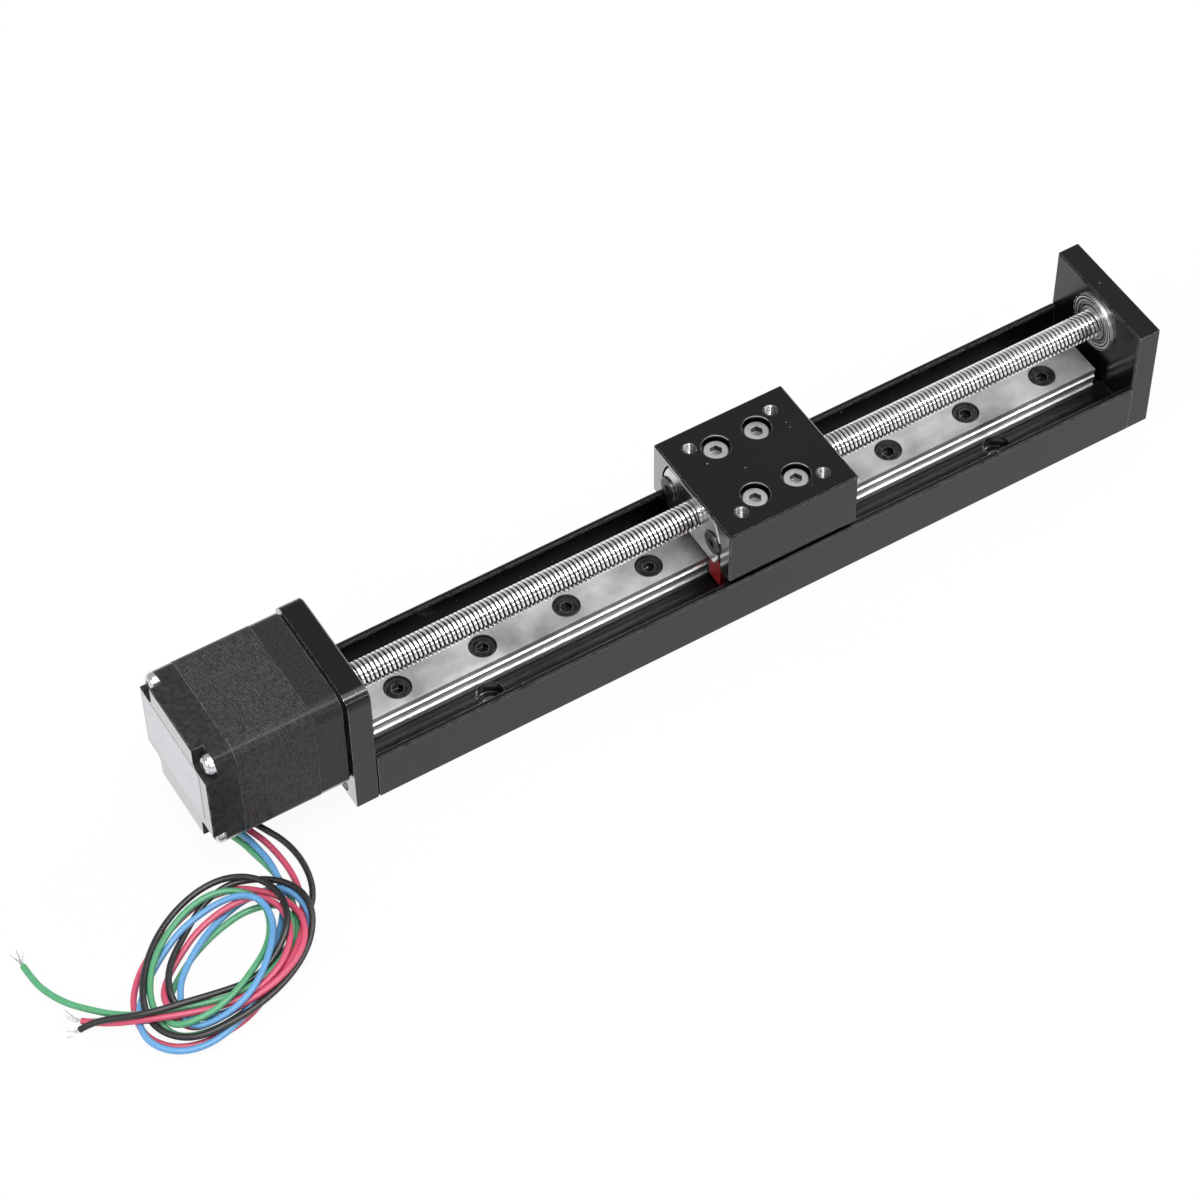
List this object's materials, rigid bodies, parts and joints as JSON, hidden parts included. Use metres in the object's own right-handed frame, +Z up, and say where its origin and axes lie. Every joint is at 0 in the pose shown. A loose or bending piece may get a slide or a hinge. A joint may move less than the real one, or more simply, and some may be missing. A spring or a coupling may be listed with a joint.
{
  "type": "motorized linear stage",
  "caption": "Compact linear stage: stepper motor with direct lead screw, profile rail in a channel base, and a slider with tapped holes driven by a flange nut.",
  "frame": {"origin": "centre of the base's underside", "axes": "+X along the rail away from the motor, +Y across the rail, +Z up from the base's underside"},
  "size_m": [0.2714, 0.0652, 0.0348],
  "materials": {
    "base": "satin black anodised",
    "guide_rail": "ground bearing steel",
    "rail_screws": "black oxide",
    "motor_plate": "satin black anodised",
    "motor_plate_screws": "black oxide",
    "end_plate": "satin black anodised",
    "end_plate_screws": "black oxide",
    "end_bearing_outer_ring": "ground bearing steel",
    "end_bearing_balls": "ground bearing steel",
    "end_bearing_shields": "ground bearing steel",
    "motor_front_cap": "black paint on a die casting",
    "motor_stator": "black laminations",
    "motor_windings": "enamelled copper wire",
    "motor_rear_cap": "black paint on a die casting",
    "motor_case_screws": "bright zinc",
    "motor_screws": "black oxide",
    "front_bearing_outer_ring": "ground bearing steel",
    "front_bearing_balls": "ground bearing steel",
    "rear_bearing_outer_ring": "ground bearing steel",
    "rear_bearing_balls": "ground bearing steel",
    "preload_washer": "ground bearing steel",
    "lead_grommet": "black moulded plastic",
    "lead_green": "green PVC",
    "lead_blue": "blue PVC",
    "lead_red": "red PVC",
    "lead_black": "black PVC",
    "tail_green": "green PVC",
    "tail_blue": "blue PVC",
    "tail_red": "red PVC",
    "tail_black": "black PVC",
    "lead_coil": "PVC covered wire",
    "lead_screw": "ground bearing steel",
    "rotor_cups": "silicon steel",
    "rotor_magnet": "sintered magnet",
    "end_bearing_inner_ring": "ground bearing steel",
    "front_bearing_inner_ring": "ground bearing steel",
    "rear_bearing_inner_ring": "ground bearing steel",
    "slider": "satin black anodised",
    "slider_screws": "bright zinc",
    "flange_nut": "ground bearing steel",
    "nut_screws": "black oxide",
    "block_body": "ground bearing steel",
    "block_balls": "ground bearing steel",
    "block_cap_motor_side": "black moulded plastic",
    "block_cap_far_side": "black moulded plastic",
    "block_wiper_motor_side": "red rubber wiper",
    "block_wiper_far_side": "red rubber wiper"
  },
  "bodies": {
    "frame": {"base": "base", "guide_rail": "guide_rail", "rail_screws": "rail_screws", "motor_plate": "motor_plate", "motor_plate_screws": "motor_plate_screws", "end_plate": "end_plate", "end_plate_screws": "end_plate_screws", "end_bearing_outer_ring": "end_bearing_outer_ring", "end_bearing_balls": "end_bearing_balls", "end_bearing_shields": "end_bearing_shields", "motor_front_cap": "motor_front_cap", "motor_stator": "motor_stator", "motor_windings": "motor_windings", "motor_rear_cap": "motor_rear_cap", "motor_case_screws": "motor_case_screws", "motor_screws": "motor_screws", "front_bearing_outer_ring": "front_bearing_outer_ring", "front_bearing_balls": "front_bearing_balls", "rear_bearing_outer_ring": "rear_bearing_outer_ring", "rear_bearing_balls": "rear_bearing_balls", "preload_washer": "preload_washer", "lead_grommet": "lead_grommet", "lead_green": "lead_green", "lead_blue": "lead_blue", "lead_red": "lead_red", "lead_black": "lead_black", "tail_green": "tail_green", "tail_blue": "tail_blue", "tail_red": "tail_red", "tail_black": "tail_black", "lead_coil": "lead_coil"},
    "screw": {"lead_screw": "lead_screw", "rotor_cups": "rotor_cups", "rotor_magnet": "rotor_magnet", "end_bearing_inner_ring": "end_bearing_inner_ring", "front_bearing_inner_ring": "front_bearing_inner_ring", "rear_bearing_inner_ring": "rear_bearing_inner_ring"},
    "carriage": {"slider": "slider", "slider_screws": "slider_screws", "flange_nut": "flange_nut", "nut_screws": "nut_screws", "block_body": "block_body", "block_balls": "block_balls", "block_cap_motor_side": "block_cap_motor_side", "block_cap_far_side": "block_cap_far_side", "block_wiper_motor_side": "block_wiper_motor_side", "block_wiper_far_side": "block_wiper_far_side"}
  },
  "joints": [
    {"name": "screw_turn", "type": "hinge", "parent": "frame", "child": "screw", "pos_m": [0, 0, 0.0207], "axis": [1, 0, 0], "range_deg": [-24841, 29161]},
    {"name": "carriage_slide", "type": "slide", "parent": "frame", "child": "carriage", "axis": [1, 0, 0], "range_m": [-0.081, 0.069]}
  ],
  "couplings": [
    {"joint": "screw_turn", "follows": "carriage_slide", "rad_per_m": -6283.2}
  ]
}
